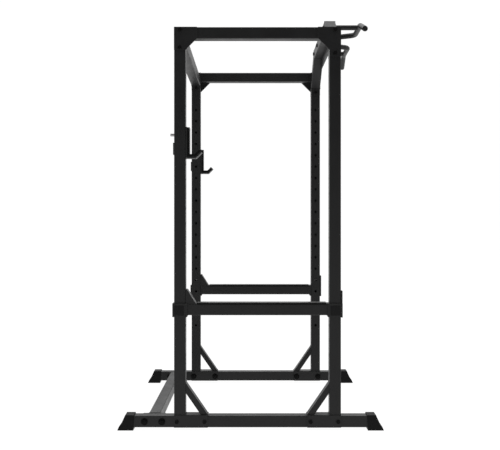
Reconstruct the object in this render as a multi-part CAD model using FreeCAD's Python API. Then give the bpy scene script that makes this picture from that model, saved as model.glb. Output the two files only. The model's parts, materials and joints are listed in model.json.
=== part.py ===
# Power cage: four drilled uprights on two base beams, joined by cross tubes at the
# top and at the back, with two bar hooks, two safety bars and two pull-up handles.
# Millimetres. +X is the front (the pull-up side), +Y is the right-hand side, +Z is up.
# The origin is on the floor, in the middle of the four feet.

import FreeCAD, Part
import math
import os

Vector = FreeCAD.Vector

# ---- main sizes -------------------------------------------------------------
frame_width = 1235.0      # outer faces of the uprights, side to side
frame_depth = 871.2       # outer faces of the uprights, front to back
frame_height = 2104.0     # top of the uprights and of the side beams
base_length = 1388.0      # tip to tip of the feet
frame_offset = 36.2       # the uprights sit this far forward of the middle of the feet

# ---- the steel --------------------------------------------------------------
tube = 60.0               # square tube of the whole frame
wall = 2.0                # its wall
corner = 4.0              # outside corner radius of the tube
plate = 5.0               # brackets, end plates and corner plates
beam_low = 15.0           # underside of the base beams, held up by the feet
plug_thick = 3.0          # plastic plug on top of an upright

# ---- the row of holes in every upright --------------------------------------
hole_diameter = 16.0
hole_pitch = 76.9
hole_count = 20
first_hole = 390.6
hook_hole = 15            # the hole that the hook's peg sits in, counted from 0
safety_hole = 4           # the hole that the safety bar's pegs sit in

# ---- feet and base ----------------------------------------------------------
foot_grip = 86.0          # length of a foot along the beam
foot_wall = 5.0           # how far a foot stands proud of the tube
beam_in_foot = 32.0       # how far the beam goes into the foot
bracket_length = 176.0    # saddle bracket under each upright
bracket_bolt_out = 15.0   # its bolts, from its outer end
bracket_bolt_in = 17.0    # and from its inner end
brace_rise = 168.0        # the brace meets the upright this far above the bracket
brace_depth = 30.4        # brace tube, seen from the side
brace_width = 50.0        # brace tube, seen from the front
back_tube_setback = 139.1 # the rear base tube, behind the rear uprights
end_bolt_gap = 15.5       # bolts of its end plates, from the side of the tube
end_plate_edge = 14.5     # and from the end of the plate

# ---- top --------------------------------------------------------------------
front_tail = 34.0         # extra depth of the front corner plates
top_bolt_drop = 15.0      # upper bolts, below the top
rear_tube_drop = 31.0     # top of the rear top tube, below the top
arch_angle = 35.0         # slope of the two legs of the front tube, in degrees
arch_flat_half = 340.0    # half the length of its level middle
arch_bolt_gap = 23.2      # top of the leg's end, below the upper bolts
web_depth = 57.0          # plate that hangs under the level middle, between the legs

# ---- pull-up handles --------------------------------------------------------
handle_radius = 15.0
handle_arm_radius = 14.0  # the straight arm is a slightly thinner tube
handle_wall = 2.0
handle_reach = 137.0      # from the front tube to the bar
handle_root = 89.5        # where the slanting arm starts, from the middle of the cage
handle_bar_start = 154.0  # where the bar starts
handle_arm = 320.5        # the straight arm
handle_bend = 367.5       # where the bar bends down
handle_end = 502.0        # the end of the grip
handle_drop = 52.0        # how far the end of the grip is below the bar
handle_splay = 6.0        # and how far in front of it
handle_plug = 12.0        # solid end of each arm, threaded for its bolt

# ---- fasteners, M12 ---------------------------------------------------------
bolt_radius = 6.0
bolt_hole = 6.2           # radius of a clearance hole
head_flats = 19.0
head_thick = 7.5
nut_thick = 10.0
big_washer_radius = 18.5
washer_thick = 3.0

# ---- bar hooks --------------------------------------------------------------
gap = 0.3                 # between a sliding face and the upright
hook_steel = 8.0
hook_top = 39.0           # top of the hook plate above its peg
hook_bottom = 124.1       # underside of the hook below its peg
hook_floor = 54.5         # from the upright to the foot of the lip, underneath
hook_lip = 31.0           # the lip rises this much, at 45 degrees
liner_back = 12.5         # plastic liner on the plate
liner_floor = 13.5        # on the floor
liner_lip = 12.0          # and on the lip
hook_strap_low = 104.1    # the strap round the upright, below the peg
hook_strap_high = 43.0
strap_steel = 6.0
peg_radius = 7.9
peg_tail = 22.0           # the hook's peg sticks out this far behind the upright

# ---- safety bars ------------------------------------------------------------
cheek = 8.0               # plates across the front and back of an upright
outer_plate = 6.0         # plate along the outside of an upright
saddle_low = 107.2        # saddle, below the pegs
saddle_high = 36.2
cheek_top_rear = 35.8     # the tall plates, above the pegs
cheek_top_front = 28.8
bar_low = 98.2            # underside of the bar, below the pegs
wedge_reach = 55.0        # the stiffener on the bar, from the upright
wedge_skin = 4.0
pad_side = 52.0           # plastic cover on the outer plate
pad_thick = 1.5
strip_thick = 6.0         # plastic strip on top of the bar
strip_skirt = 6.0
strip_skin = 2.0
safety_head_radius = 11.0
safety_head_thick = 1.5

# ---- values that follow from the ones above ---------------------------------
half = tube / 2
side_y = frame_width / 2 - half
rear_x = frame_offset - frame_depth / 2 + half
front_x = frame_offset + frame_depth / 2 - half
beam_top = beam_low + tube
deck = beam_top + plate
beam_mid = beam_low + half
side_names = {-1: "left", 1: "right"}
hole_levels = [first_hole + count * hole_pitch for count in range(hole_count)]
drilled_levels = [level for level in hole_levels if level < frame_height - 4 * tube]
hook_level = drilled_levels[min(hook_hole, len(drilled_levels) - 1)]
safety_level = drilled_levels[safety_hole]
end_plate_bolt = half + end_bolt_gap
end_plate_length = 2 * (end_plate_bolt + end_plate_edge)
back_tube_x = rear_x - back_tube_setback
back_tube_bolts = (back_tube_x - end_plate_bolt, back_tube_x + end_plate_bolt)
bracket_bolts = {
    "rear": (rear_x - half + bracket_bolt_out, rear_x - half + bracket_length - bracket_bolt_in),
    "front": (front_x + half - bracket_bolt_out, front_x + half - bracket_length + bracket_bolt_in),
}
corner_drop = {"rear": 2 * tube, "front": 2 * tube + front_tail}
top_bolts = {
    "rear": (frame_height - top_bolt_drop, frame_height - corner_drop["rear"] + 12.5),
    "front": (frame_height - top_bolt_drop, frame_height - corner_drop["front"] + 17.5),
}
upright_x = {"rear": rear_x, "front": front_x}
arch_end_y = side_y - half - plate
arch_slope = math.tan(math.radians(arch_angle))
arch_end_drop = top_bolt_drop + arch_bolt_gap + half / math.cos(math.radians(arch_angle))
arch_mid_z = frame_height - arch_end_drop + (arch_end_y - arch_flat_half) * arch_slope
arch_front = front_x + half
handle_bolt_spots = [sign * spot for sign in (-1, 1) for spot in (handle_root, handle_arm)]


# ---- shapes -----------------------------------------------------------------
def box(x, y, z):
    """A block from three (low, high) pairs."""
    x, y, z = sorted(x), sorted(y), sorted(z)
    return Part.makeBox(x[1] - x[0], y[1] - y[0], z[1] - z[0], Vector(x[0], y[0], z[0]))


def rounded(shape, axis, radius):
    """Round the straight edges that run along one axis."""
    chosen = []
    for edge in shape.Edges:
        run = edge.Vertexes[-1].Point - edge.Vertexes[0].Point
        if run.Length > 1e-6 and abs(run.dot(axis)) > 0.999 * run.Length:
            chosen.append(edge)
    return shape.makeFillet(radius, chosen)


def square_tube(x, y, z, axis, skin=wall, radius=corner):
    """A hollow tube with open ends, running along the given axis."""
    grow = {"x": (0, skin, skin), "y": (skin, 0, skin), "z": (skin, skin, 0)}[axis]
    direction = {"x": Vector(1, 0, 0), "y": Vector(0, 1, 0), "z": Vector(0, 0, 1)}[axis]
    ranges = [sorted(pair) for pair in (x, y, z)]
    inside = [(low + step, high - step) for (low, high), step in zip(ranges, grow)]
    outer = rounded(box(*ranges), direction, radius)
    inner = rounded(box(*inside), direction, max(radius - skin, 0.5))
    return outer.cut(inner)


def side_plate(points, y):
    """A flat shape drawn in X and Z, given a thickness along Y."""
    low, high = sorted(y)
    corners = [Vector(px, low, pz) for px, pz in points]
    face = Part.Face(Part.makePolygon(corners + corners[:1]))
    return face.extrude(Vector(0, high - low, 0))


def cross_plate(points, x):
    """A flat shape drawn in Y and Z, given a thickness along X."""
    low, high = sorted(x)
    corners = [Vector(low, py, pz) for py, pz in points]
    face = Part.Face(Part.makePolygon(corners + corners[:1]))
    return face.extrude(Vector(high - low, 0, 0))


def rod(start, along, length, radius):
    return Part.makeCylinder(radius, length, start, along)


def hexagon(start, along, height, flats):
    """A six-sided head or nut with its outer edge turned down."""
    reach = flats / math.sqrt(3)
    turned = Part.makeCone(reach + height, reach - 1.0, height + 1.0, Vector(0, 0, 0), Vector(0, 0, 1))
    corners = [Vector(reach * math.cos(math.radians(60 * step)),
                      reach * math.sin(math.radians(60 * step)), 0) for step in range(7)]
    block = Part.Face(Part.makePolygon(corners)).extrude(Vector(0, 0, height))
    block = block.common(turned)
    turn = FreeCAD.Rotation(Vector(0, 0, 1), along)
    return block.transformed(FreeCAD.Placement(start, turn).toMatrix(), True)


def bolt(under_head, along, length):
    """A hexagon bolt; the shank points along, the head is behind."""
    back = along * -1.0
    return hexagon(under_head, back, head_thick, head_flats).fuse(
        rod(under_head, along, length, bolt_radius))


def nut(start, along):
    body = hexagon(start, along, nut_thick, head_flats)
    return body.cut(rod(start, along, nut_thick, bolt_radius))


def washer(start, along, radius):
    return rod(start, along, washer_thick, radius).cut(rod(start, along, washer_thick, bolt_hole))


def joined(shapes):
    """Weld shapes into one clean solid."""
    result = shapes[0]
    for shape in shapes[1:]:
        result = result.fuse(shape)
    return result.removeSplitter()


def cut_all(shape, tools):
    return shape.cut(Part.makeCompound(tools))


def save(name, shape):
    shape.exportStep(os.path.join("parts", name + ".step"))
    solids = len(shape.Solids)
    good = all(solid.isValid() for solid in shape.Solids)
    print(name, "solids", solids, "valid", good, "volume cm3", round(shape.Volume / 1000, 1))


# ---- base -------------------------------------------------------------------
def base_beam(side):
    middle = side * side_y
    reach = base_length / 2 - foot_grip + beam_in_foot
    beam = square_tube((-reach, reach), (middle - half, middle + half), (beam_low, beam_top), "x")
    spots = bracket_bolts["rear"] + bracket_bolts["front"] + back_tube_bolts
    holes = [rod(Vector(spot, middle - tube, beam_mid), Vector(0, 1, 0), 2 * tube, bolt_hole)
             for spot in spots]
    return cut_all(beam, holes)


def foot(side, end):
    """A black boot over the end of a base beam, with a sloping, flared toe."""
    middle = side * side_y
    tip = base_length / 2
    outline = [(tip - foot_grip, deck), (tip - 40.0, deck), (tip - 19.5, 35.0), (tip - 7.0, 19.0),
               (tip, 2.5), (tip, 0.0), (tip - foot_grip + 4.0, 0.0)]
    points = [(end * px, pz) for px, pz in outline]
    boot = side_plate(points, (middle - half - foot_wall, middle + half + foot_wall))
    pocket_end = tip - foot_grip + beam_in_foot
    start = tip - foot_grip - 10.0
    pocket = rounded(box((end * start, end * pocket_end), (middle - half, middle + half),
                         (beam_low, beam_top)), Vector(1, 0, 0), corner)
    return boot.cut(pocket)


def base_bracket(side, place, inward):
    """A saddle over the base beam, welded under an upright."""
    middle = side * side_y
    outer = upright_x[place] - inward * half
    inner = outer + inward * bracket_length
    outside = box((outer, inner), (middle - half - plate, middle + half + plate), (beam_low, deck))
    outside = rounded(outside, Vector(1, 0, 0), 3.0)
    trim = box((outer, inner), (middle - tube, middle + tube), (beam_low - 10.0, beam_low + 4.0))
    channel = box((outer, inner), (middle - half, middle + half), (beam_low - 1.0, beam_top))
    legs = box((outer, inner), (middle - half - plate, middle + half + plate),
               (beam_low, beam_low + 4.0))
    saddle = joined([outside.cut(trim), legs]).cut(channel)
    holes = [rod(Vector(spot, middle - tube, beam_mid), Vector(0, 1, 0), 2 * tube, bolt_hole)
             for spot in bracket_bolts[place]]
    return cut_all(saddle, holes)


def brace(side, place, inward):
    """A slanting tube between the upright and its bracket."""
    middle = side * side_y
    outer = upright_x[place] - inward * half
    run = bracket_length - tube
    angle = math.atan2(run, brace_rise)
    rise_cut = brace_depth / math.sin(angle)
    run_cut = brace_depth / math.cos(angle)
    skin_rise = wall / math.sin(angle)
    skin_run = wall / math.cos(angle)
    outline = [(tube, deck + brace_rise - rise_cut), (tube, deck + brace_rise),
               (bracket_length, deck), (bracket_length - run_cut, deck)]
    hollow = [(tube, deck + brace_rise - rise_cut + skin_rise),
              (tube, deck + brace_rise - skin_rise),
              (bracket_length - skin_run, deck), (bracket_length - run_cut + skin_run, deck)]
    wide = brace_width / 2
    solid = side_plate([(outer + inward * px, pz) for px, pz in outline],
                       (middle - wide, middle + wide))
    void = side_plate([(outer + inward * px, pz) for px, pz in hollow],
                      (middle - wide + wall, middle + wide - wall))
    return solid.cut(void)


def rear_base_crossmember():
    """The tube between the base beams, behind the rear uprights."""
    inside = side_y - half
    x = (back_tube_x - half, back_tube_x + half)
    shapes = [square_tube(x, (-inside + plate, inside - plate), (beam_low, beam_top), "y")]
    holes = []
    for side in (-1, 1):
        end = box((back_tube_x - end_plate_length / 2, back_tube_x + end_plate_length / 2),
                  (side * (inside - plate), side * inside), (beam_low, beam_top))
        shapes.append(rounded(end, Vector(0, 1, 0), 3.0))
        holes += [rod(Vector(spot, side * inside - 10.0, beam_mid), Vector(0, 1, 0), 20.0, bolt_hole)
                  for spot in back_tube_bolts]
    return cut_all(joined(shapes), holes)


# ---- uprights and top -------------------------------------------------------
def upright(side, place):
    middle = side * side_y
    x = upright_x[place]
    post = square_tube((x - half, x + half), (middle - half, middle + half),
                       (deck, frame_height - plug_thick), "z")
    holes = []
    for level in drilled_levels:
        holes.append(rod(Vector(x - tube, middle, level), Vector(1, 0, 0), 2 * tube, hole_diameter / 2))
        holes.append(rod(Vector(x, middle, level), Vector(0, -side, 0), tube, hole_diameter / 2))
    for level in top_bolts[place]:
        holes.append(rod(Vector(x, middle - tube, level), Vector(0, 1, 0), 2 * tube, bolt_hole))
    return cut_all(post, holes)


def upright_plug(side, place):
    middle = side * side_y
    x = upright_x[place]
    top = frame_height - plug_thick
    lid = rounded(box((x - half, x + half), (middle - half, middle + half), (top, frame_height)),
                  Vector(0, 0, 1), corner)
    deep = half - wall
    skirt = box((x - deep, x + deep), (middle - deep, middle + deep), (top - 6.0, top))
    skirt = rounded(skirt, Vector(0, 0, 1), corner - wall)
    hollow = box((x - deep + 2.0, x + deep - 2.0), (middle - deep + 2.0, middle + deep - 2.0),
                 (top - 6.0, top))
    return joined([lid, skirt.cut(hollow)])


def side_beam(side):
    middle = side * side_y
    return square_tube((rear_x + half, front_x - half), (middle - half, middle + half),
                       (frame_height - tube, frame_height), "x")


def corner_plate(side, place, inward):
    """The plate outside a top corner, over the upright and the side beam."""
    face = side * (side_y + half)
    outer = upright_x[place] - inward * half
    points = [(0.0, 0.0), (2 * tube, 0.0), (2 * tube, -tube), (tube, -2 * tube)]
    if corner_drop[place] > 2 * tube:
        points.append((tube, -corner_drop[place]))
    points.append((0.0, -corner_drop[place]))
    points = [(outer + inward * px, frame_height + pz) for px, pz in points]
    plate_shape = side_plate(points, (face, face + side * plate))
    holes = [rod(Vector(upright_x[place], face - 10.0, level), Vector(0, 1, 0), 20.0, bolt_hole)
             for level in top_bolts[place]]
    return cut_all(plate_shape, holes)


def end_plates(place):
    """The two plates at the ends of a top tube, against the uprights."""
    x = upright_x[place]
    shapes = []
    for side in (-1, 1):
        inside = side * (side_y - half)
        shape = box((x - half, x + half), (inside - side * plate, inside),
                    (frame_height - corner_drop[place], frame_height))
        holes = [rod(Vector(x, inside - 10.0, level), Vector(0, 1, 0), 20.0, bolt_hole)
                 for level in top_bolts[place]]
        shapes.append(cut_all(rounded(shape, Vector(0, 1, 0), 3.0), holes))
    return shapes


def rear_top_crossmember():
    inside = side_y - half - plate
    high = frame_height - rear_tube_drop
    middle = square_tube((rear_x - half, rear_x + half), (-inside, inside), (high - tube, high), "y")
    return joined([middle] + end_plates("rear"))


def arch_outline(skin):
    """The front tube seen from the front, drawn smaller by its wall when skin is above 0."""
    thick = half - skin
    lean = math.tan(math.radians(arch_angle / 2)) * thick
    tall = thick / math.cos(math.radians(arch_angle))
    end_z = frame_height - arch_end_drop
    right = [(arch_flat_half - lean, arch_mid_z - thick), (arch_end_y, end_z - tall),
             (arch_end_y, end_z + tall), (arch_flat_half + lean, arch_mid_z + thick)]
    left = [(-py, pz) for py, pz in reversed(right)]
    return right + left


def arched_crossmember():
    """The front top tube: a level middle on two sloping legs."""
    x = (front_x - half, front_x + half)
    outer = cross_plate(arch_outline(0.0), x)
    long_edges = []
    for edge in outer.Edges:
        run = edge.Vertexes[-1].Point - edge.Vertexes[0].Point
        at_end = abs(abs(edge.CenterOfMass.y) - arch_end_y) < 0.01
        if abs(run.x) < 0.01 and not at_end:
            long_edges.append(edge)
    outer = outer.makeFillet(corner, long_edges)
    inner = cross_plate(arch_outline(wall), (x[0] + wall, x[1] - wall))
    tube_shape = outer.cut(inner)
    holes = [rod(Vector(x[0] - 10.0, spot, arch_mid_z), Vector(1, 0, 0), tube + 20.0, bolt_hole)
             for spot in handle_bolt_spots]
    return joined([cut_all(tube_shape, holes)] + end_plates("front"))


def arch_web():
    """The plate that fills the hollow under the level middle, just behind the front face."""
    lean = math.tan(math.radians(arch_angle / 2)) * half
    top_half = arch_flat_half - lean
    low_half = top_half + web_depth / arch_slope
    top_z = arch_mid_z - half
    line = [(-top_half, top_z), (-low_half, top_z - web_depth), (low_half, top_z - web_depth),
            (top_half, top_z)]
    return cross_plate(line, (arch_front - corner - plate, arch_front - corner))


# ---- pull-up handles --------------------------------------------------------
def bent_path(points, radii):
    """Straight runs joined by arcs; one radius for each inner point."""
    edges = []
    last = points[0]
    for index, radius in enumerate(radii):
        bend = points[index + 1]
        back = (points[index] - bend).normalize()
        on = (points[index + 2] - bend).normalize()
        opening = back.getAngle(on)
        reach = radius / math.tan(opening / 2)
        start = bend + back * reach
        stop = bend + on * reach
        inward = (back + on).normalize()
        deep = bend + inward * (radius / math.sin(opening / 2) - radius)
        edges.append(Part.makeLine(last, start))
        edges.append(Part.Arc(start, deep, stop).toShape())
        last = stop
    edges.append(Part.makeLine(last, points[-1]))
    return Part.Wire(edges)


def round_sweep(path, start, along, radius):
    ring = Part.Wire([Part.makeCircle(radius, start, along)])
    return path.makePipeShell([ring], True, True)


def handle_points(side):
    bar_x = arch_front + handle_reach
    root = Vector(arch_front, side * handle_root, arch_mid_z)
    first = Vector(bar_x, side * handle_bar_start, arch_mid_z)
    lead = (root - first).normalize()
    return [root + lead * 30.0, first, Vector(bar_x, side * handle_bend, arch_mid_z),
            Vector(bar_x + handle_splay, side * handle_end, arch_mid_z - handle_drop)]


def pull_up_handle(side):
    """One bent tube with a straight second arm welded on."""
    points = handle_points(side)
    path = bent_path(points, [45.0, 90.0])
    along = (points[1] - points[0]).normalize()
    arm_start = Vector(arch_front, side * handle_arm, arch_mid_z)
    outer = round_sweep(path, points[0], along, handle_radius)
    outer = outer.fuse(rod(arm_start, Vector(1, 0, 0), handle_reach, handle_arm_radius))
    inner_radius = handle_radius - handle_wall
    inner = round_sweep(path, points[0], along, inner_radius)
    inner = inner.fuse(rod(arm_start, Vector(1, 0, 0), handle_reach, handle_arm_radius - handle_wall))
    behind = box((arch_front - 200.0, arch_front), (-1000.0, 1000.0),
                 (arch_mid_z - 200.0, arch_mid_z + 200.0))
    plug = box((arch_front - 200.0, arch_front + handle_plug), (-1000.0, 1000.0),
               (arch_mid_z - 200.0, arch_mid_z + 200.0))
    holes = [rod(Vector(arch_front - 5.0, side * spot, arch_mid_z), Vector(1, 0, 0), 30.0, bolt_hole)
             for spot in (handle_root, handle_arm)]
    return cut_all(outer.cut(behind).cut(inner.cut(plug)), holes).removeSplitter()


def handle_cap(side):
    """The black plug in the open end of a grip."""
    points = handle_points(side)
    along = (points[3] - points[2]).normalize()
    lid = rod(points[3], along, 4.0, handle_radius)
    lid = lid.makeFillet(2.5, [edge for edge in lid.Edges
                               if (edge.CenterOfMass - points[3]).dot(along) > 3.9
                               and edge.Closed])
    stem = rod(points[3] - along * 14.0, along, 14.0, handle_radius - handle_wall)
    return joined([lid, stem])


# ---- bar hooks --------------------------------------------------------------
def hook_steel_line():
    """Outline of the bent hook plate: distances in front of the upright and above the peg."""
    top, low = hook_top, -hook_bottom
    slant = hook_steel / math.sqrt(2)
    turn = hook_steel * (math.sqrt(2) - 1)
    return [(gap, top), (gap, low), (hook_floor, low), (hook_floor + hook_lip, low + hook_lip),
            (hook_floor + hook_lip - slant, low + hook_lip + slant),
            (hook_floor - turn, low + hook_steel), (gap + hook_steel, low + hook_steel),
            (gap + hook_steel, top)]


def hook_liner_line():
    """Outline of the plastic liner that lies in the hook."""
    low = -hook_bottom
    slant = hook_steel / math.sqrt(2)
    turn = hook_steel * (math.sqrt(2) - 1)
    thick = liner_lip / math.sqrt(2)
    tip = (hook_floor + hook_lip - slant, low + hook_lip + slant)
    inner_tip = (tip[0] - thick, tip[1] + thick)
    floor_z = low + hook_steel + liner_floor
    toe = inner_tip[0] - (inner_tip[1] - floor_z)
    back = gap + hook_steel
    return [(back, hook_top - 2.0), (back, low + hook_steel), (hook_floor - turn, low + hook_steel),
            tip, inner_tip, (toe, floor_z), (back + liner_back, floor_z),
            (back + liner_back, hook_top - 2.0)]


def hook(side):
    """Bent plate with a strap that wraps round the upright; the same part on both sides."""
    middle = side * side_y
    face = rear_x + half
    line = [(face + px, hook_level + pz) for px, pz in hook_steel_line()]
    bent = side_plate(line, (middle - half, middle + half))
    z = (hook_level - hook_strap_low, hook_level - hook_strap_high)
    behind = rear_x - half - gap
    outside = middle + half + gap + strap_steel
    strap = [
        box((face + gap, face + gap + hook_steel), (middle, outside), z),
        box((behind - strap_steel, face + gap + hook_steel), (middle + half + gap, outside), z),
        box((behind - strap_steel, behind), (middle - 20.0, outside), z),
    ]
    return joined([bent] + strap)


def hook_liner(side):
    middle = side * side_y
    face = rear_x + half
    line = [(face + px, hook_level + pz) for px, pz in hook_liner_line()]
    return side_plate(line, (middle - half + 1.0, middle + half - 1.0))


def hook_peg(side):
    start = Vector(rear_x + half + gap, side * side_y, hook_level)
    peg = rod(start, Vector(-1, 0, 0), tube + gap + peg_tail, peg_radius)
    tail = [edge for edge in peg.Edges if edge.Closed and edge.CenterOfMass.x < rear_x - half]
    return peg.makeChamfer(2.0, tail)


# ---- safety bars ------------------------------------------------------------
def rear_saddle(side):
    """The saddle round the rear upright, with the stiffener down to the bar."""
    middle = side * side_y
    face = rear_x + half
    behind = rear_x - half - gap
    low, high = safety_level - saddle_low, safety_level - saddle_high
    bar_top = safety_level - bar_low + tube
    edge = middle + side * (half + gap)
    out = edge + side * outer_plate
    tall = box((face + gap, face + gap + cheek), (middle - side * half, out - side * 1.5),
               (low, high))
    upper = box((face + gap, face + gap + cheek), (middle - half, middle + half),
                (high - 1.0, safety_level + cheek_top_rear))
    side_sheet = box((behind - cheek, face + gap + 1.0), (edge, out), (low, high))
    short = box((behind - cheek, behind), (middle - side * 25.0, out), (low, high))
    start = face + gap + cheek
    end = face + wedge_reach
    crest = safety_level + cheek_top_rear
    wedge = side_plate([(start, bar_top), (end, bar_top), (start, crest)],
                       (middle - half, middle + half))
    shift = wedge_skin * math.hypot(end - start, crest - bar_top) / (end - start)
    void = side_plate([(start, bar_top), (end - shift * (end - start) / (crest - bar_top), bar_top),
                       (start, crest - shift)], (middle - half + wedge_skin, middle + half - wedge_skin))
    peg_hole = rod(Vector(face - 5.0, middle, safety_level), Vector(1, 0, 0), 40.0, peg_radius)
    steel = joined([tall, upper, side_sheet, short])
    return joined([steel, wedge.cut(void)]).cut(peg_hole)


def front_saddle(side):
    """The saddle round the front upright; its tall plate is in front."""
    middle = side * side_y
    face = front_x - half
    ahead = front_x + half + gap
    low, high = safety_level - saddle_low, safety_level - saddle_high
    edge = middle + side * (half + gap)
    out = edge + side * outer_plate
    short = box((face - gap - cheek, face - gap), (middle - side * half, out - side * 1.5), (low, high))
    side_sheet = box((face - gap - cheek + 3.0, ahead + cheek), (edge, out), (low, high))
    tall = box((ahead, ahead + cheek), (middle - side * half, out), (low - 2.0, high))
    upper = box((ahead, ahead + cheek), (middle - half, middle + half),
                (high - 1.0, safety_level + cheek_top_front))
    peg_hole = rod(Vector(ahead - 5.0, middle, safety_level), Vector(1, 0, 0), 30.0, peg_radius)
    return joined([short, side_sheet, tall, upper]).cut(peg_hole)


def safety_bar(side):
    middle = side * side_y
    x = (rear_x + half + gap + cheek, front_x - half - gap - cheek)
    low = safety_level - bar_low
    return square_tube(x, (middle - half, middle + half), (low, low + tube), "x")


def safety_strip(side):
    """The plastic channel that sits over the top of the bar."""
    middle = side * side_y
    top = safety_level - bar_low + tube
    x = (rear_x + half + wedge_reach + 5.0, front_x - half - gap - cheek - 7.0)
    wide = half + strip_skin
    body = box(x, (middle - wide, middle + wide), (top - strip_skirt, top + strip_thick))
    body = rounded(body, Vector(1, 0, 0), 1.5)
    room = rounded(box(x, (middle - half, middle + half), (top - tube, top)), Vector(1, 0, 0), corner)
    return body.cut(room)


def safety_peg(side, place):
    """A steel peg with a flat head, welded into the tall plate of a saddle."""
    face = upright_x[place] + half + gap
    head = rod(Vector(face + cheek, side * side_y, safety_level), Vector(1, 0, 0),
               safety_head_thick, safety_head_radius)
    shank = rod(Vector(face + cheek, side * side_y, safety_level), Vector(-1, 0, 0),
                cheek + gap + tube - 0.6, peg_radius)
    tip = [edge for edge in shank.Edges
           if edge.Closed and edge.CenterOfMass.x < upright_x[place]]
    return joined([head, shank.makeChamfer(1.5, tip)])


def saddle_pad(side, place):
    """A blank plastic cover on the outer plate of a saddle."""
    shift = {"rear": -3.9, "front": 0.6}[place]
    x = upright_x[place] + shift
    start = side * (side_y + half + gap + outer_plate)
    z = safety_level - (saddle_low + saddle_high) / 2 - 1.5
    pad = box((x - pad_side / 2, x + pad_side / 2), (start, start + side * pad_thick),
              (z - pad_side / 2, z + pad_side / 2))
    return rounded(pad, Vector(0, 1, 0), 3.0)


# ---- write every piece ------------------------------------------------------
os.makedirs("parts", exist_ok=True)
places = (("rear", 1), ("front", -1))

for side, side_name in side_names.items():
    save(side_name + "_base_beam", base_beam(side))
    save(side_name + "_side_beam", side_beam(side))
    save(side_name + "_pull_up_handle", pull_up_handle(side))
    save(side_name + "_handle_cap", handle_cap(side))
    save(side_name + "_hook", hook(side))
    save(side_name + "_hook_liner", hook_liner(side))
    save(side_name + "_hook_peg", hook_peg(side))
    save(side_name + "_safety_bar", safety_bar(side))
    save(side_name + "_safety_strip", safety_strip(side))
    save(side_name + "_rear_saddle", rear_saddle(side))
    save(side_name + "_front_saddle", front_saddle(side))
    pegs = [safety_peg(side, place) for place, inward in places]
    save(side_name + "_safety_pegs", Part.makeCompound(pegs))
    pads = [saddle_pad(side, place) for place, inward in places]
    save(side_name + "_saddle_covers", Part.makeCompound(pads))
    for place, inward in places:
        piece = side_name + "_" + place
        save(piece + "_foot", foot(side, -inward))
        save(piece + "_upright", upright(side, place))
        save(piece + "_base_bracket", base_bracket(side, place, inward))
        save(piece + "_brace", brace(side, place, inward))
        save(piece + "_corner_plate", corner_plate(side, place, inward))

save("rear_base_crossmember", rear_base_crossmember())
save("rear_top_crossmember", rear_top_crossmember())
save("arched_crossmember", arched_crossmember())
save("arch_web", arch_web())
plugs = [upright_plug(side, place) for side in side_names for place, inward in places]
save("upright_plugs", Part.makeCompound(plugs))

bracket_bolt_list = []
back_tube_bolt_list = []
base_washers = []
base_nuts = []
top_bolt_list = []
top_nuts = []
for side in side_names:
    inward_y = Vector(0, -side, 0)
    outward_y = Vector(0, side, 0)
    outside = side * (side_y + half)
    inside = side * (side_y - half - plate)
    for spot in bracket_bolts["rear"] + bracket_bolts["front"]:
        bracket_bolt_list.append(bolt(Vector(spot, outside + side * plate, beam_mid), inward_y,
                                      tube + 2 * plate + washer_thick + nut_thick + 2.0))
        base_washers.append(washer(Vector(spot, inside, beam_mid), inward_y, big_washer_radius))
        base_nuts.append(nut(Vector(spot, inside - side * washer_thick, beam_mid), inward_y))
    for spot in back_tube_bolts:
        back_tube_bolt_list.append(bolt(Vector(spot, inside, beam_mid), outward_y,
                                        tube + plate + washer_thick + nut_thick + 2.0))
        base_washers.append(washer(Vector(spot, outside, beam_mid), outward_y, big_washer_radius))
        base_nuts.append(nut(Vector(spot, outside + side * washer_thick, beam_mid), outward_y))
    for place, inward in places:
        for level in top_bolts[place]:
            top_bolt_list.append(bolt(Vector(upright_x[place], outside + side * plate, level), inward_y,
                                      tube + 2 * plate + nut_thick + 2.0))
            top_nuts.append(nut(Vector(upright_x[place], inside, level), inward_y))

handle_bolt_list = [bolt(Vector(front_x - half, spot, arch_mid_z), Vector(1, 0, 0),
                         tube + handle_plug + 3.0) for spot in handle_bolt_spots]

save("base_bracket_bolts", Part.makeCompound(bracket_bolt_list))
save("base_crossmember_bolts", Part.makeCompound(back_tube_bolt_list))
save("base_washers", Part.makeCompound(base_washers))
save("base_nuts", Part.makeCompound(base_nuts))
save("top_bolts", Part.makeCompound(top_bolt_list))
save("top_nuts", Part.makeCompound(top_nuts))
save("handle_bolts", Part.makeCompound(handle_bolt_list))
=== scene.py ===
import json
import math

import bmesh
import bpy
import numpy as np
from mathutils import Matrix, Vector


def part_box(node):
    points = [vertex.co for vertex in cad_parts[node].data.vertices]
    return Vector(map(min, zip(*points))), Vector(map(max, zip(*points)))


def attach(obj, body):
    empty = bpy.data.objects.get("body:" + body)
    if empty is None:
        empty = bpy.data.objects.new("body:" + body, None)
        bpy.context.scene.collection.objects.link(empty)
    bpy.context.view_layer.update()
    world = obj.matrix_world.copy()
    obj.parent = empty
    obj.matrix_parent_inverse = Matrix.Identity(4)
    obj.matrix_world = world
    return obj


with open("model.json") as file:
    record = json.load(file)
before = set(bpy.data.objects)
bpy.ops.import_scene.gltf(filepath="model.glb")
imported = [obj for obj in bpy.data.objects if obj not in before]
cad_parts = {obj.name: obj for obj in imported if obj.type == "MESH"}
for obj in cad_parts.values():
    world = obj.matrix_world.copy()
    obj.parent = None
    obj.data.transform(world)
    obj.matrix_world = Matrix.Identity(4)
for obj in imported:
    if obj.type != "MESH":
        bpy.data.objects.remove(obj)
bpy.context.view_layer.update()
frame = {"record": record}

# What a user would change first: metres, watts and shader numbers.
camera = {"place": (-0.003, -4.5195, 1.071), "aim": (math.pi / 2, 0.0, 0.0), "lens": 53.86,
          "sensor": 36.0}
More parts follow.
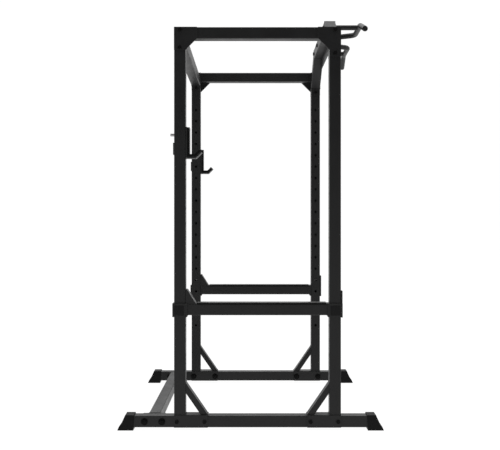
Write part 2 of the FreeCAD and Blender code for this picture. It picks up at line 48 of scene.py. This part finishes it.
# The world is dim up to dimUntil and bright from brightFrom, measured along Y from -1 to 1.
lights = {"worldFront": 0.04, "worldBack": 1.10, "dimUntil": -0.68, "brightFrom": -0.05,
          "key": 117.0, "keyPlace": (0.0, 0.5, 5.0), "keySize": 7.0}
floor = {"size": 400.0, "wallStart": 4.0, "bend": 6.0, "height": 14.0, "dark": 0.08, "light": 0.11,
         "glow": 0.97}

# Finishes: tones are linear, softEdge is a radius in metres, grain and peel are noise scales.
powder = {"dark": 0.0062, "light": 0.0098, "bare": 0.075, "wear": 0.35, "rough": 0.41,
          "roughSpread": 0.10, "peel": 420.0, "softEdge": 0.0013, "specular": 0.31}
weldPaint = {**powder, "dark": 0.0045, "light": 0.008, "wear": 0.5, "rough": 0.34}
rubber = {"tone": 0.0036, "rough": 0.58, "grain": 520.0, "grainHeight": 0.00025, "softEdge": 0.0022,
          "specular": 0.16}
plastic = {"tone": 0.0090, "rough": 0.50, "grain": 700.0, "grainHeight": 0.00025, "softEdge": 0.0010,
           "specular": 0.12}
liner = {"tone": 0.0030, "rough": 0.36, "grain": 380.0, "grainHeight": 0.00015, "softEdge": 0.0012,
         "specular": 0.12}
zinc = {"dark": 0.28, "light": 0.40, "softEdge": 0.0008}
oxide = {"dark": 0.004, "light": 0.009, "bare": 0.20, "softEdge": 0.0009, "specular": 0.05}

# Weld beads. A bead swells once in every ripple, by the share swell of its radius.
weld = {"radius": 0.0026, "plateRadius": 0.0022, "smallRadius": 0.0018, "archRadius": 0.0013,
        "ripple": 0.0032, "swell": 0.22, "step": 0.0009, "span": 0.0025, "sides": 8,
        "setIn": 0.006, "inset": 0.003, "toeGap": 0.002}
# Sizes of the steel that the beads follow. They repeat values of the CAD, in metres.
steel = {"halfTube": 0.030, "corner": 0.004, "plate": 0.005, "braceDepth": 0.0304, "rearTubeDrop": 0.031,
         "legDrop": 0.0748, "archAngle": 35.0, "archFlatHalf": 0.34, "gap": 0.0003,
         "strapFoot": 0.020, "strapHeight": 0.0611, "strapDepth": 0.0063, "hookPlate": 0.008,
         "handleReach": 0.1370, "handleArm": 0.3205, "gripRadius": 0.015, "armRadius": 0.014}
sides = {"left": -1, "right": 1}


class Wire:
    # an output socket that Python sums can be written on
    def __init__(self, maker, socket):
        self.maker = maker
        self.socket = socket

    def combine(self, kind, first, second):
        return self.maker.node("ShaderNodeMath", {"operation": kind}, {0: first, 1: second})

    def __add__(self, other):
        return self.combine("ADD", self, other)

    def __radd__(self, other):
        return self.combine("ADD", other, self)

    def __mul__(self, other):
        return self.combine("MULTIPLY", self, other)


class Nodes:
    # every node of a tree is made here; an input is a number or a Wire
    def __init__(self, tree):
        self.tree = tree

    def node(self, kind, settings, inputs, output=0):
        made = self.tree.nodes.new(kind)
        for key, value in settings.items():
            setattr(made, key, value)
        for key, value in inputs.items():
            self.join(value, made.inputs[key])
        return Wire(self, made.outputs[output])

    def join(self, value, socket):
        if isinstance(value, Wire):
            self.tree.links.new(value.socket, socket)
        else:
            socket.default_value = value

    def range(self, value, low, high, start, stop, ease="LINEAR"):
        return self.node("ShaderNodeMapRange", {"interpolation_type": ease},
                         {0: value, 1: low, 2: high, 3: start, 4: stop})


class Finish(Nodes):
    # one material, with its noises placed by Object coordinates
    def __init__(self, name):
        self.material = bpy.data.materials.new(name)
        self.material.use_nodes = True
        super().__init__(self.material.node_tree)
        self.shader = self.tree.nodes["Principled BSDF"]
        self.place = self.node("ShaderNodeTexCoord", {}, {}, "Object")

    def noise(self, scale, detail, rough, stretch=None):
        where = self.place
        if stretch:
            where = self.node("ShaderNodeMapping", {}, {"Vector": self.place, "Scale": stretch})
        return self.node("ShaderNodeTexNoise", {}, {"Vector": where, "Scale": scale, "Detail": detail,
                                                    "Roughness": rough})

    def blend(self, share, first, second):
        return self.node("ShaderNodeMix", {"data_type": "RGBA"}, {0: share, 6: first, 7: second}, 2)

    def bump(self, height, strength, distance, under):
        return self.node("ShaderNodeBump", {}, {"Height": height, "Strength": strength,
                                                "Distance": distance, "Normal": under})

    def edges(self, radius):
        # a normal that is rounded at the edges, and how far it leans: 0 on a flat face, 1 on a sharp edge
        soft = self.node("ShaderNodeBevel", {"samples": 4}, {"Radius": radius})
        flat = self.node("ShaderNodeNewGeometry", {}, {}, "True Normal")
        same = self.node("ShaderNodeVectorMath", {"operation": "DOT_PRODUCT"}, {0: soft, 1: flat}, "Value")
        return soft, self.range(same, 0.97, 0.78, 0.0, 1.0)

    def put(self, **sockets):
        names = {"colour": "Base Color", "roughness": "Roughness", "metallic": "Metallic",
                 "normal": "Normal", "specular": "Specular IOR Level", "glow": "Emission Color",
                 "glowStrength": "Emission Strength"}
        for key, value in sockets.items():
            self.join(value, self.shader.inputs[names[key]])
        return self.material


def colour(value, warm=0.0):
    # a near grey: slightly blue, or redder where warm is above 0
    return (value * (1 + warm), value, value * (1.03 - warm), 1.0)


def plainGrey(value):
    return (value, value, value, 1.0)


def powderCoat(name, look):
    # baked powder: orange peel, faint cloudy sheen, and a thinner greyer skin on worn edges
    make = Finish(name)
    soft, edge = make.edges(look["softEdge"])
    cloud = make.noise(7.0, 4.0, 0.55)
    fine = make.noise(160.0, 3.0, 0.6)
    scuffs = make.noise(34.0, 5.0, 0.7, (1.0, 1.0, 0.35))
    peel = make.noise(look["peel"], 2.0, 0.45)
    worn = edge * make.range(scuffs, 0.42, 0.68, 0.0, 1.0) * look["wear"]
    base = make.blend(cloud, colour(look["dark"]), colour(look["light"]))
    handled = make.range(cloud, 0.35, 0.72, 0.0, look["roughSpread"])
    grain = make.range(fine, 0.3, 0.7, -0.03, 0.03)
    return make.put(colour=make.blend(worn, base, colour(look["bare"], 0.03)),
                    roughness=look["rough"] + handled + grain + worn * 0.2,
                    normal=make.bump(peel, 0.22, 0.0003, soft), specular=look["specular"])


def moulded(name, look):
    # moulded plastic or rubber: a fine even grain, dust that has settled in cloudy patches, and a painted
    # highlight that lightens the colour along every edge
    make = Finish(name)
    soft, edge = make.edges(look["softEdge"])
    patches = make.noise(11.0, 5.0, 0.6)
    pitted = make.noise(look["grain"], 2.0, 0.5)
    dust = make.range(patches, 0.50, 0.78, 0.0, 0.30)
    tone = make.blend(dust, colour(look["tone"]), colour(look["tone"] * 2.6, 0.03))
    grain = make.range(pitted, 0.3, 0.7, -0.06, 0.08)
    # painted highlight: the colour turns lighter along every edge, where a rounded edge would catch the
    # light
    return make.put(colour=make.blend(edge * 0.35, tone, colour(look["tone"] * 3.2)),
                    roughness=look["rough"] + grain + dust * 0.15,
                    normal=make.bump(pitted, 0.5, look["grainHeight"], soft), specular=look["specular"])


def zincSteel(name, look):
    # bright zinc plate: turned marks along the peg and a faint yellow bloom
    make = Finish(name)
    soft, edge = make.edges(look["softEdge"])
    rings = make.noise(60.0, 3.0, 0.6, (14.0, 1.0, 1.0))
    bloom = make.noise(45.0, 3.0, 0.5)
    return make.put(colour=make.blend(bloom, colour(look["dark"]), colour(look["light"], 0.04)),
                    metallic=1.0, roughness=make.range(rings, 0.3, 0.7, 0.20, 0.38),
                    normal=make.bump(rings, 0.25, 0.0002, soft))


def oxideSteel(name, look):
    # black oxide fasteners: dark metal with rubbed corners where a spanner has been
    make = Finish(name)
    soft, edge = make.edges(look["softEdge"])
    patches = make.noise(90.0, 4.0, 0.6)
    marks = edge * make.range(patches, 0.40, 0.62, 0.0, 1.0) * 0.55
    base = make.blend(patches, colour(look["dark"]), colour(look["light"], 0.04))
    return make.put(colour=make.blend(marks, base, colour(look["bare"], 0.02)), metallic=marks * 0.6,
                    roughness=make.range(patches, 0.3, 0.7, 0.34, 0.52),
                    normal=make.bump(patches, 0.2, 0.0003, soft), specular=look["specular"])


def floorFinish():
    make = Finish("paleFloor")
    speck = make.noise(40.0, 3.0, 0.5)
    return make.put(colour=make.blend(speck, plainGrey(floor["dark"]), plainGrey(floor["light"])),
                    roughness=make.range(speck, 0.3, 0.7, 0.75, 0.85), specular=0.0,
                    glow=plainGrey(1.0), glowStrength=floor["glow"])


finishes = {
    "black_powder_coat": powderCoat("blackPowderCoat", powder),
    "rubber": moulded("mouldedRubber", rubber),
    "black_plastic": moulded("mouldedPlastic", plastic),
    "liner_plastic": moulded("linerPlastic", liner),
    "zinc_steel": zincSteel("brightZinc", zinc),
    "black_fasteners": oxideSteel("blackOxide", oxide),
}
weldSkin = powderCoat("paintedWeld", weldPaint)
print("finishes made:", len(finishes) + 1)

slotOf = {part["node"]: part["material_slot"] for part in frame["record"]["subparts"]}
nodeObjects = {name: bpy.data.objects[name] for name in slotOf if name in bpy.data.objects}
for name, thing in nodeObjects.items():
    for place in thing.material_slots:
        place.material = finishes[slotOf[name]]
print("CAD pieces dressed:", len(nodeObjects), "of", len(slotOf))


def placeCamera():
    view = bpy.data.cameras.new("view")
    view.lens = camera["lens"]
    view.sensor_width = camera["sensor"]
    viewer = bpy.data.objects.new("view", view)
    viewer.location = camera["place"]
    viewer.rotation_euler = camera["aim"]
    bpy.context.collection.objects.link(viewer)
    bpy.context.scene.camera = viewer
    bpy.context.scene.view_settings.view_transform = "Standard"


def makeMesh(name, points, faces, finish):
    data = bpy.data.meshes.new(name)
    data.from_pydata(points.tolist(), [], faces.tolist())
    data.polygons.foreach_set("use_smooth", np.full(len(faces), True))
    data.materials.append(finish)
    thing = bpy.data.objects.new(name, data)
    bpy.context.collection.objects.link(thing)
    return thing


def gridFaces(rows, columns, wrapRows=False, wrapColumns=False):
    # quads between neighbouring points of a rows x columns grid, joined round where it closes
    row = np.arange(rows if wrapRows else rows - 1)
    column = np.arange(columns if wrapColumns else columns - 1)
    row, column = np.meshgrid(row, column, indexing="ij")
    nextRow, nextColumn = (row + 1) % rows, (column + 1) % columns
    corners = [row * columns + column, row * columns + nextColumn,
               nextRow * columns + nextColumn, nextRow * columns + column]
    return np.stack(corners, -1).reshape(-1, 4)


def sweepingFloor():
    # a flat floor that turns up through a quarter circle into a wall: the profile is in Y and Z,
    # and two copies of it, at -reach and +reach along X, make the sheet
    reach, start, bend = floor["size"] / 2, floor["wallStart"], floor["bend"]
    angle = np.linspace(0, math.pi / 2, 24)
    y = np.concatenate([[-reach, start], start + bend * np.sin(angle), [start + bend]])
    z = np.concatenate([[0.0, 0.0], bend * (1 - np.cos(angle)), [floor["height"]]])
    x = np.array([-reach, reach])
    points = np.stack([np.repeat(x[None, :], len(y), 0), np.repeat(y[:, None], 2, 1),
                       np.repeat(z[:, None], 2, 1)], -1).reshape(-1, 3)
    return makeMesh("floor", points, gridFaces(len(y), 2), floorFinish())


def keyLight():
    data = bpy.data.lights.new("topSoftbox", "AREA")
    data.shape = "RECTANGLE"
    data.size = lights["keySize"]
    data.size_y = lights["keySize"]
    data.energy = lights["key"]
    lamp = bpy.data.objects.new("topSoftbox", data)
    lamp.location = lights["keyPlace"]
    bpy.context.collection.objects.link(lamp)


def studioWorld():
    # bright walls behind and beside the object and a dim room in front of it; the camera
    # itself sees a pale backdrop on every side
    world = bpy.data.worlds.new("studio")
    world.use_nodes = True
    bpy.context.scene.world = world
    make = Nodes(world.node_tree)
    place = make.node("ShaderNodeTexCoord", {}, {}, "Generated")
    behind = make.node("ShaderNodeSeparateXYZ", {}, {0: place}, "Y")
    walls = make.range(behind, lights["dimUntil"], lights["brightFrom"], lights["worldFront"],
                       lights["worldBack"], "SMOOTHSTEP")
    seen = make.node("ShaderNodeLightPath", {}, {}, "Is Camera Ray")
    strength = make.node("ShaderNodeMath", {"operation": "MAXIMUM"}, {0: walls, 1: seen})
    sky = world.node_tree.nodes["Background"]
    make.join(plainGrey(1.0), sky.inputs["Color"])
    make.join(strength, sky.inputs["Strength"])


placeCamera()
sweepingFloor()
keyLight()
studioWorld()
print("camera, floor and light ready")


def beadPoints(corners, normal, radius, closed):
    # a tube along straight runs, like stacked coins: at distance s its radius is multiplied by
    # 1 - swell + swell * |sin(pi s / ripple)|, and an open bead narrows towards both ends as the
    # square root of the distance left
    corners = np.array(corners, float)
    if closed:
        corners = np.vstack([corners, corners[:1]])
    runs = np.linalg.norm(np.diff(corners, axis=0), axis=1)
    along = np.concatenate([[0.0], np.cumsum(runs)])
    length = along[-1]

    def at(distance):
        where = distance % length if closed else np.clip(distance, 0.0, length)
        return np.stack([np.interp(where, along, corners[:, axis]) for axis in range(3)], -1)

    count = max(8, int(length / weld["step"]))
    s = np.linspace(0.0, length, count, endpoint=not closed)
    tangent = at(s + weld["span"]) - at(s - weld["span"])
    tangent /= np.linalg.norm(tangent, axis=1, keepdims=True)
    flat = np.broadcast_to(np.array(normal, float), tangent.shape)
    across = np.cross(tangent, flat)
    across /= np.linalg.norm(across, axis=1, keepdims=True)
    flat = np.cross(across, tangent)
    size = radius * (1 - weld["swell"] + weld["swell"] * np.abs(np.sin(np.pi * s / weld["ripple"])))
    if not closed:
        size *= np.sqrt(np.clip(np.minimum(s, length - s) / radius, 0.02, 1.0))
    turn = np.linspace(0, 2 * np.pi, weld["sides"], endpoint=False)
    ring = np.cos(turn)[None, :, None] * flat[:, None, :] + np.sin(turn)[None, :, None] * across[:, None, :]
    return at(s)[:, None, :] + ring * size[:, None, None]


def outward(thing):
    # closes the open ends of the beads and turns every face outward
    work = bmesh.new()
    work.from_mesh(thing.data)
    holes = [edge for edge in work.edges if edge.is_boundary]
    bmesh.ops.holes_fill(work, edges=holes)
    bmesh.ops.recalc_face_normals(work, faces=work.faces)
    work.to_mesh(thing.data)
    work.free()


def weldPiece(name, beads, body):
    # one piece from many beads; each bead is (corners, normal, radius, closed)
    points, faces, start = [], [], 0
    for corners, normal, radius, closed in beads:
        grid = beadPoints(corners, normal, radius, closed)
        rows, columns = grid.shape[:2]
        points.append(grid.reshape(-1, 3))
        faces.append(gridFaces(rows, columns, closed, True) + start)
        start += rows * columns
    thing = makeMesh(name, np.vstack(points), np.vstack(faces), weldSkin)
    outward(thing)
    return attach(thing, body)


def loop(axis, level, first, second, radius=weld["radius"]):
    # a closed bead round a rectangle on the plane axis = level; first and second are its two spans
    corners = [(first[0], second[0]), (first[1], second[0]), (first[1], second[1]), (first[0], second[1])]
    normal = [0.0, 0.0, 0.0]
    normal[axis] = 1.0
    points = []
    for one, two in corners:
        point = [one, two]
        point.insert(axis, level)
        points.append(point)
    return points, normal, radius, True


def footBeads(side, place, inward):
    # round the foot of an upright, and at both ends of its brace
    low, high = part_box(f"{side}_{place}_upright")
    braceLow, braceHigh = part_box(f"{side}_{place}_brace")
    deck = braceLow.z
    outer, inner = (low.x, high.x) if inward > 0 else (high.x, low.x)
    start = outer + inward * weld["setIn"]
    run = [(start, low.y, deck), (inner, low.y, deck), (inner, high.y, deck), (start, high.y, deck)]
    reach = abs(braceHigh.x - braceLow.x)
    lean = math.atan2(reach, braceHigh.z - deck)
    toe = inner + inward * reach
    heel = toe - inward * steel["braceDepth"] / math.cos(lean)
    width = (braceLow.y, braceHigh.y)
    rise = (braceHigh.z - steel["braceDepth"] / math.sin(lean), braceHigh.z)
    return [(run, (0, 0, 1), weld["radius"], False), loop(2, deck, sorted((toe, heel)), width),
            loop(0, inner, width, rise)]


def baseTubeBead(sign):
    # where the rear base tube meets its end plate
    low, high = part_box("rear_base_crossmember")
    middle = (low.x + high.x) / 2
    return loop(1, sign * (high.y - steel["plate"]),
                (middle - steel["halfTube"], middle + steel["halfTube"]), (low.z, high.z),
                weld["plateRadius"])


def beamBeads(side, sign):
    # the ends of a side beam, and the edges of the corner plates that lie on it
    low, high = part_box(f"{side}_side_beam")
    insideY, outsideY = (high.y, low.y) if sign < 0 else (low.y, high.y)
    start = outsideY - sign * steel["corner"]
    beads = []
    for x in (low.x, high.x):
        run = [(x, start, high.z), (x, insideY, high.z), (x, insideY, low.z), (x, start, low.z)]
        beads.append((run, (1, 0, 0), weld["radius"], False))
    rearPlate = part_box(f"{side}_rear_corner_plate")
    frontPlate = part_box(f"{side}_front_corner_plate")
    for x in (rearPlate[1].x, frontPlate[0].x):
        run = [(x, outsideY, low.z + steel["corner"]), (x, outsideY, high.z - steel["corner"])]
        beads.append((run, (0, 1, 0), weld["plateRadius"], False))
    return beads


def crossTubeBeads(sign):
    # where the rear top tube and the arch meet their end plates, and round the arch at its bend
    half, angle = steel["halfTube"], math.radians(steel["archAngle"])
    plateY = sign * (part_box("rear_base_crossmember")[1].y - steel["plate"])
    rearLow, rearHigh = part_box("rear_top_crossmember")
    top = rearHigh.z - steel["rearTubeDrop"]
    low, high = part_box("arched_crossmember")
    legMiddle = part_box("left_side_beam")[1].z - steel["legDrop"]
    legHalf = half / math.cos(angle)
    # the bead over the bend is sunk by its own radius, so that it doesn't stand above the tube
    crest, floorOfTube = high.z - weld["archRadius"], high.z - 2 * half
    lean = math.tan(angle / 2) * half
    upper, lower = sign * (steel["archFlatHalf"] + lean), sign * (steel["archFlatHalf"] - lean)
    bend = [(low.x, upper, crest), (high.x, upper, crest), (high.x, lower, floorOfTube),
            (low.x, lower, floorOfTube)]
    square = (0, math.cos(angle / 2), -sign * math.sin(angle / 2))
    return [loop(1, plateY, (rearLow.x, rearHigh.x), (top - 2 * half, top)),
            loop(1, plateY, (low.x, high.x), (legMiddle - legHalf, legMiddle + legHalf)),
            (bend, square, weld["archRadius"], True)]


def hookBead(side):
    # one short bead, where the strap joins the hook plate
    low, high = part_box(f"{side}_hook")
    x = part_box(f"{side}_hook_peg")[1].x + steel["hookPlate"] - steel["gap"]
    y = high.y - steel["strapDepth"]
    strapLow = low.z + steel["strapFoot"]
    strapHigh = strapLow + steel["strapHeight"]
    run = [(x, y, strapLow + weld["inset"]), (x, y, strapHigh - weld["inset"])]
    return run, (1, 0, 0), weld["smallRadius"], False


def safetyBeads(side):
    # both ends of a safety bar, and along the foot of its stiffener
    low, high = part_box(f"{side}_safety_bar")
    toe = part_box(f"{side}_rear_saddle")[1].x
    under = [(low.x, low.y, high.z), (low.x, low.y, low.z), (low.x, high.y, low.z), (low.x, high.y, high.z)]
    beads = [loop(0, high.x, (low.y, high.y), (low.z, high.z), weld["plateRadius"]),
             (under, (1, 0, 0), weld["plateRadius"], False)]
    for y in (low.y, high.y):
        run = [(low.x, y, high.z), (toe - weld["toeGap"], y, high.z)]
        beads.append((run, (0, 1, 0), weld["smallRadius"], False))
    front = [(toe, low.y + weld["inset"], high.z), (toe, high.y - weld["inset"], high.z)]
    beads.append((front, (0, 0, 1), weld["plateRadius"], False))
    return beads


def handleBead(sign):
    # the arm, of radius r, runs into the bar, of radius R: at angle t round the arm they meet at
    # a distance sqrt(R^2 - (r sin t)^2) behind the middle of the bar
    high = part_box("arched_crossmember")[1]
    barX, barZ = high.x + steel["handleReach"], high.z - steel["halfTube"]
    turn = np.linspace(0, 2 * np.pi, 48, endpoint=False)
    up, across = steel["armRadius"] * np.sin(turn), steel["armRadius"] * np.cos(turn)
    seam = np.stack([barX - np.sqrt(steel["gripRadius"] ** 2 - up ** 2),
                     sign * steel["handleArm"] + across, barZ + up], -1)
    return seam, (1, 0, 0), weld["smallRadius"], True


baseBeads, topBeads = [], []
for side, sign in sides.items():
    baseBeads += footBeads(side, "rear", 1) + footBeads(side, "front", -1) + [baseTubeBead(sign)]
    topBeads += beamBeads(side, sign) + crossTubeBeads(sign)
weldPiece("base_welds", baseBeads, "frame")
weldPiece("top_welds", topBeads, "frame")
for side, sign in sides.items():
    weldPiece(f"{side}_hook_weld", [hookBead(side)], f"{side}_hook_unit")
    weldPiece(f"{side}_safety_welds", safetyBeads(side), f"{side}_safety_unit")
    weldPiece(f"{side}_handle_weld", [handleBead(sign)], "frame")
print("weld beads laid")
